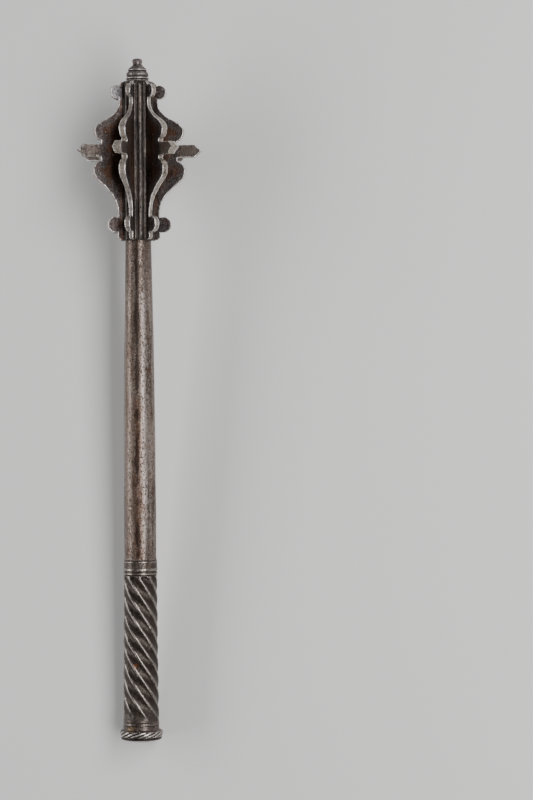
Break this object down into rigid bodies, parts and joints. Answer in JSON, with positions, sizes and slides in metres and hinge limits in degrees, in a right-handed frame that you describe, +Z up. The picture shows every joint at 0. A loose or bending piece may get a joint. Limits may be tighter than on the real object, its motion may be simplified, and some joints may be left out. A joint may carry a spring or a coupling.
{
  "type": "ceremonial mace",
  "caption": "Flanged iron mace with a tapered haft, spirally fluted grip, roped base and turned finial, dark worn patina, lying on its side",
  "frame": {"origin": "on the surface that the mace lies on, under the middle of its bounding box", "axes": "+Z up; +Y along the mace in plan, from the grip towards the head; the haft climbs about 3.6 degrees towards the head"},
  "size_m": [0.1134, 0.609, 0.1103],
  "materials": {
    "haft": "handled wrought iron, pitted, grey with streaks of brown rust",
    "base_cap": "handled wrought iron, bright along the roped rim",
    "finial": "dark grey wrought iron with brown tints, battered on top",
    "flange": "wrought iron under a dark brown patina, worn bright along its edges",
    "rib_strip": "wrought iron under a dark blue-grey patina"
  },
  "bodies": {
    "root": {"haft": "haft", "base_cap": "base_cap", "finial": "finial", "flange_1": "flange", "flange_2": "flange", "flange_3": "flange", "flange_4": "flange", "flange_5": "flange", "flange_6": "flange", "flange_7": "flange", "rib_strip_1": "rib_strip", "rib_strip_2": "rib_strip", "rib_strip_3": "rib_strip", "rib_strip_4": "rib_strip", "rib_strip_5": "rib_strip", "rib_strip_6": "rib_strip", "rib_strip_7": "rib_strip"}
  },
  "joints": []
}
